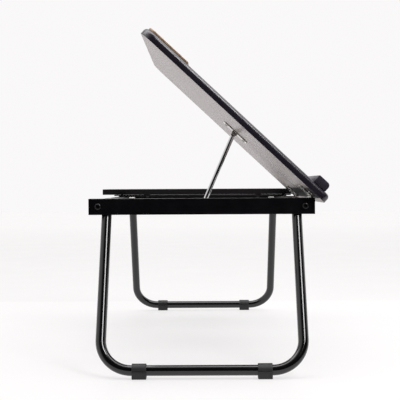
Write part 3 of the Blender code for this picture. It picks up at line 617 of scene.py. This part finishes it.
# ================================================================ prop rod: eye, rod, cross foot
piv = BOARD_M @ Vector((PROP_U, PROP_Y, PROP_W))
foot = Vector((FX + 0.0062, PROP_Y, RT - 0.0040))
d = foot - piv
L = d.length
A = aim(piv, d)
rod = lathe("rod", [(0, 0), (0.0040, 0.0), (0.0040, L - 0.0012), (0.0034, L - 0.0002), (0.0030, L + 0.0014), (0, L + 0.0014)], 48, A)
Ym = lambda c: aim(c, (0, 1, 0))
rod = carve(rod, lathe("eye", [(0, -0.0041), (0.0041, -0.0041), (0.0043, -0.0039), (0.0043, 0.0039), (0.0041, 0.0041), (0, 0.0041)], 40, Ym(piv)), 'UNION')
rod = carve(rod, lathe("tee", [(0, -0.0102), (0.0022, -0.0102), (0.0026, -0.0098), (0.0026, 0.0098), (0.0022, 0.0102), (0, 0.0102)], 32, Ym(foot)), 'UNION')
rod = carve(rod, prism("pinhole", 32, 0.0023, -0.02, 0.02, Ym(piv)))
new_piece("v_prop_rod", rod, M_CHROME, "prop", ["prop_rod"], 35)


# ================================================================ bracket: a stamped plate with two small ears for the pin
rings = []
BM = BOARD_M @ Matrix.Translation((PROP_U, PROP_Y, DROP - 0.0003))
for dd, z in ((0.0003, 0.0), (0.0, -0.0003), (0.0, -0.0012), (0.0004, -0.0015)):
    rings.append([BM @ Vector((x, y, z)) for x, y in rounded(-0.028 + dd, -0.019 + dd, 0.028 - dd, 0.019 - dd, [0.0070 - dd] * 4)])
bracket = loft("bracket", rings)
for k in (-1, 1):
    yc = k * 0.0053
    ear = []
    for yy, dd in ((yc - 0.00075, 0.00025), (yc - 0.0005, 0.0), (yc + 0.0005, 0.0), (yc + 0.00075, 0.00025)):
        r = 0.0040 - dd
        pc = PROP_W - (DROP - 0.0003)
        loop = [(0.0062 - dd, -0.0007), (0.0056 - dd, -0.0022)]
        loop += [(r * cos(radians(a)), pc + r * sin(radians(a))) for a in range(-10, -171, -16)]
        loop += [(-0.0056 + dd, -0.0022), (-0.0062 + dd, -0.0007)]
        ear.append([BM @ Vector((u, yy, w)) for u, w in loop])
    bracket = carve(bracket, loft("ear", ear), 'UNION')
new_piece("v_prop_bracket", bracket, M_NICKEL, "tilt_top", ["prop_bracket"], 35)

# ================================================================ small screw heads on the hinge leaves and the bracket
def screw_head(name, p, out, r, h, body):
    M = aim(p, out)
    prof = [(0, h)]
    for i in range(1, 8):
        a = radians(90 * i / 7)
        prof.append((r * sin(a), h * cos(a) if i < 7 else 0.0))
    prof += [(0, -0.0001)]
    me = lathe(name, prof, 24, M)
    me = carve(me, block("slot_a", (-r * 0.62, -0.00028, h * 0.45), (r * 0.62, 0.00028, h * 2), M))
    me = carve(me, block("slot_b", (-0.00028, -r * 0.62, h * 0.45), (0.00028, r * 0.62, h * 2), M))
    return new_piece(name, me, M_ZINC, body, [], 35)


for tag, (a, b) in (("left", (-0.2260, -0.1760)), ("right", (0.0280, 0.0780))):
    for i, y in enumerate((a + 0.008, (a + b) / 2, b - 0.008)):
        u = -0.0185 if i != 1 else -0.0140
        p = BOARD_M @ Vector((u, y, DROP - 0.0003 - 0.0012))
        screw_head("v_hinge_%s_board_screw_%d" % (tag, i), p, BOARD_M.to_3x3() @ Vector((0, 0, -1)), 0.0024, 0.0007, "tilt_top")
for i, (a, b) in enumerate(((-0.021, -0.012), (0.021, -0.012), (-0.021, 0.012), (0.021, 0.012))):
    p = BOARD_M @ Vector((PROP_U + a, PROP_Y + b, DROP - 0.0003 - 0.0015))
    screw_head("v_bracket_screw_%d" % i, p, BOARD_M.to_3x3() @ Vector((0, 0, -1)), 0.0034, 0.0012, "tilt_top")

# ================================================================ floor, light, camera
m, nt, b = tree("floor_paper")
v = coords(nt)
n1 = noise(nt, v, 6.0, 3.0, 0.5)
c = ramp(nt, n1, [(0.3, (0.205, 0.202, 0.202)), (0.7, (0.216, 0.213, 0.212))])
nt.links.new(c, b.inputs["Base Color"])
far = node(nt, "ShaderNodeSeparateXYZ")                 # painted shade and light: the flat floor's glow steps a shade darker just behind the table, where the paper would turn up, and grows brighter further back
nt.links.new(v, far.inputs[0])
floor_shade_step = span(nt, far.outputs["Y"], 0.560, 0.575, 1.0, 0.955)
floor_glow_ramp = span(nt, far.outputs["Y"], 0.90, 5.0, -0.010, 0.155)
sm = node(nt, "ShaderNodeMath", operation='ADD')
nt.links.new(floor_shade_step, sm.inputs[0])
nt.links.new(floor_glow_ramp, sm.inputs[1])
# painted light: the floor glows though it is no lamp, which lightens the shadow under the table and lights the object
# from below
glow = node(nt, "ShaderNodeMath", operation='MULTIPLY')
nt.links.new(sm.outputs[0], glow.inputs[0])
glow.inputs[1].default_value = 0.66
nt.links.new(glow.outputs[0], b.inputs["Emission Strength"])
b.inputs["Emission Color"].default_value = (1.0, 0.985, 0.985, 1)
nt.links.new(span(nt, n1, 0.3, 0.7, 0.55, 0.65), b.inputs["Roughness"])
bump(nt, b, noise(nt, v, 500.0, 2.0, 0.5), 0.2, 0.00002)
b.inputs["Specular IOR Level"].default_value = 0.3
me = bpy.data.meshes.new("floor")
me.from_pydata([(-6, -0.62, -0.0002), (6, -0.62, -0.0002), (6, 9, -0.0002), (-6, 9, -0.0002)], [], [(0, 1, 2, 3)])
me.materials.append(m)
floor = bpy.data.objects.new("floor", me)
SCENE.collection.objects.link(floor)

world = bpy.data.worlds.new("studio")
SCENE.world = world
world.use_nodes = True
wt = world.node_tree
wt.nodes.clear()
tc = wt.nodes.new("ShaderNodeTexCoord")
sep = wt.nodes.new("ShaderNodeSeparateXYZ")
wt.links.new(tc.outputs["Generated"], sep.inputs[0])
mr = wt.nodes.new("ShaderNodeMapRange")           # dark towards the front, bright behind and above
mr.interpolation_type = 'SMOOTHSTEP'
mr.inputs["From Min"].default_value = -0.50
mr.inputs["From Max"].default_value = -0.02
mr.inputs["To Min"].default_value = 0.012
mr.inputs["To Max"].default_value = 1.0
lean = wt.nodes.new("ShaderNodeMath")             # and darker to the right of the camera than to the left
lean.operation = 'MULTIPLY_ADD'
lean.inputs[1].default_value = -0.45
wt.links.new(sep.outputs["X"], lean.inputs[0])
wt.links.new(sep.outputs["Y"], lean.inputs[2])
wt.links.new(lean.outputs[0], mr.inputs["Value"])
bg1 = wt.nodes.new("ShaderNodeBackground")
bg1.inputs["Color"].default_value = (1.0, 0.99, 0.985, 1)
mul = wt.nodes.new("ShaderNodeMath")
mul.operation = 'MULTIPLY'
mul.inputs[1].default_value = 0.90
wt.links.new(mr.outputs["Result"], mul.inputs[0])
wt.links.new(mul.outputs[0], bg1.inputs["Strength"])
bg2 = wt.nodes.new("ShaderNodeBackground")
bg2.inputs["Color"].default_value = (1.0, 0.985, 0.99, 1)
bg2.inputs["Strength"].default_value = 0.955
lp = wt.nodes.new("ShaderNodeLightPath")
ms = wt.nodes.new("ShaderNodeMixShader")
wt.links.new(lp.outputs["Is Camera Ray"], ms.inputs["Fac"])
wt.links.new(bg1.outputs[0], ms.inputs[1])
wt.links.new(bg2.outputs[0], ms.inputs[2])
out = wt.nodes.new("ShaderNodeOutputWorld")
wt.links.new(ms.outputs[0], out.inputs["Surface"])


def area(name, loc, target, sx, sy, power, color=(1, 1, 1)):
    li = bpy.data.lights.new(name, 'AREA')
    li.shape = 'RECTANGLE'
    li.size, li.size_y = sx, sy
    li.energy = power
    li.color = color
    ob = bpy.data.objects.new(name, li)
    ob.location = loc
    ob.rotation_euler = (Vector(target) - Vector(loc)).to_track_quat('-Z', 'Y').to_euler()
    SCENE.collection.objects.link(ob)
    return ob


area("overhead", (0.10, 0.10, 2.20), (0.10, 0.10, 0.2), 3.8, 1.3, 48, (1.0, 0.985, 0.99))
area("softbox_right", (0.90, -1.35, 1.66), (0.0, -0.33, 0.15), 0.55, 0.9, 22, (1.0, 0.99, 1.0))

cam = bpy.data.cameras.new("camera")
cam.sensor_width = 36.0
cam.sensor_fit = 'HORIZONTAL'
cam.lens = 966.68 / 400.0 * 36.0
cam.clip_start, cam.clip_end = 0.05, 60.0
co = bpy.data.objects.new("camera", cam)
SCENE.collection.objects.link(co)
yaw, pitch, roll = -0.00623, -0.01475, 0.00525
Yw = Matrix(((cos(yaw), -sin(yaw), 0), (sin(yaw), cos(yaw), 0), (0, 0, 1)))
Pt = Matrix(((1, 0, 0), (0, cos(pitch), sin(pitch)), (0, -sin(pitch), cos(pitch))))
Rl = Matrix(((cos(roll), 0, -sin(roll)), (0, 1, 0), (sin(roll), 0, cos(roll))))
A3 = Rl @ Pt @ Yw
right, fwd, up = A3[0], A3[1], A3[2]
R = Matrix((right, up, -Vector(fwd))).transposed()
co.matrix_world = Matrix.Translation((0.0083, -1.82104, 0.28497)) @ R.to_4x4()
SCENE.camera = co

bpy.context.view_layer.update()
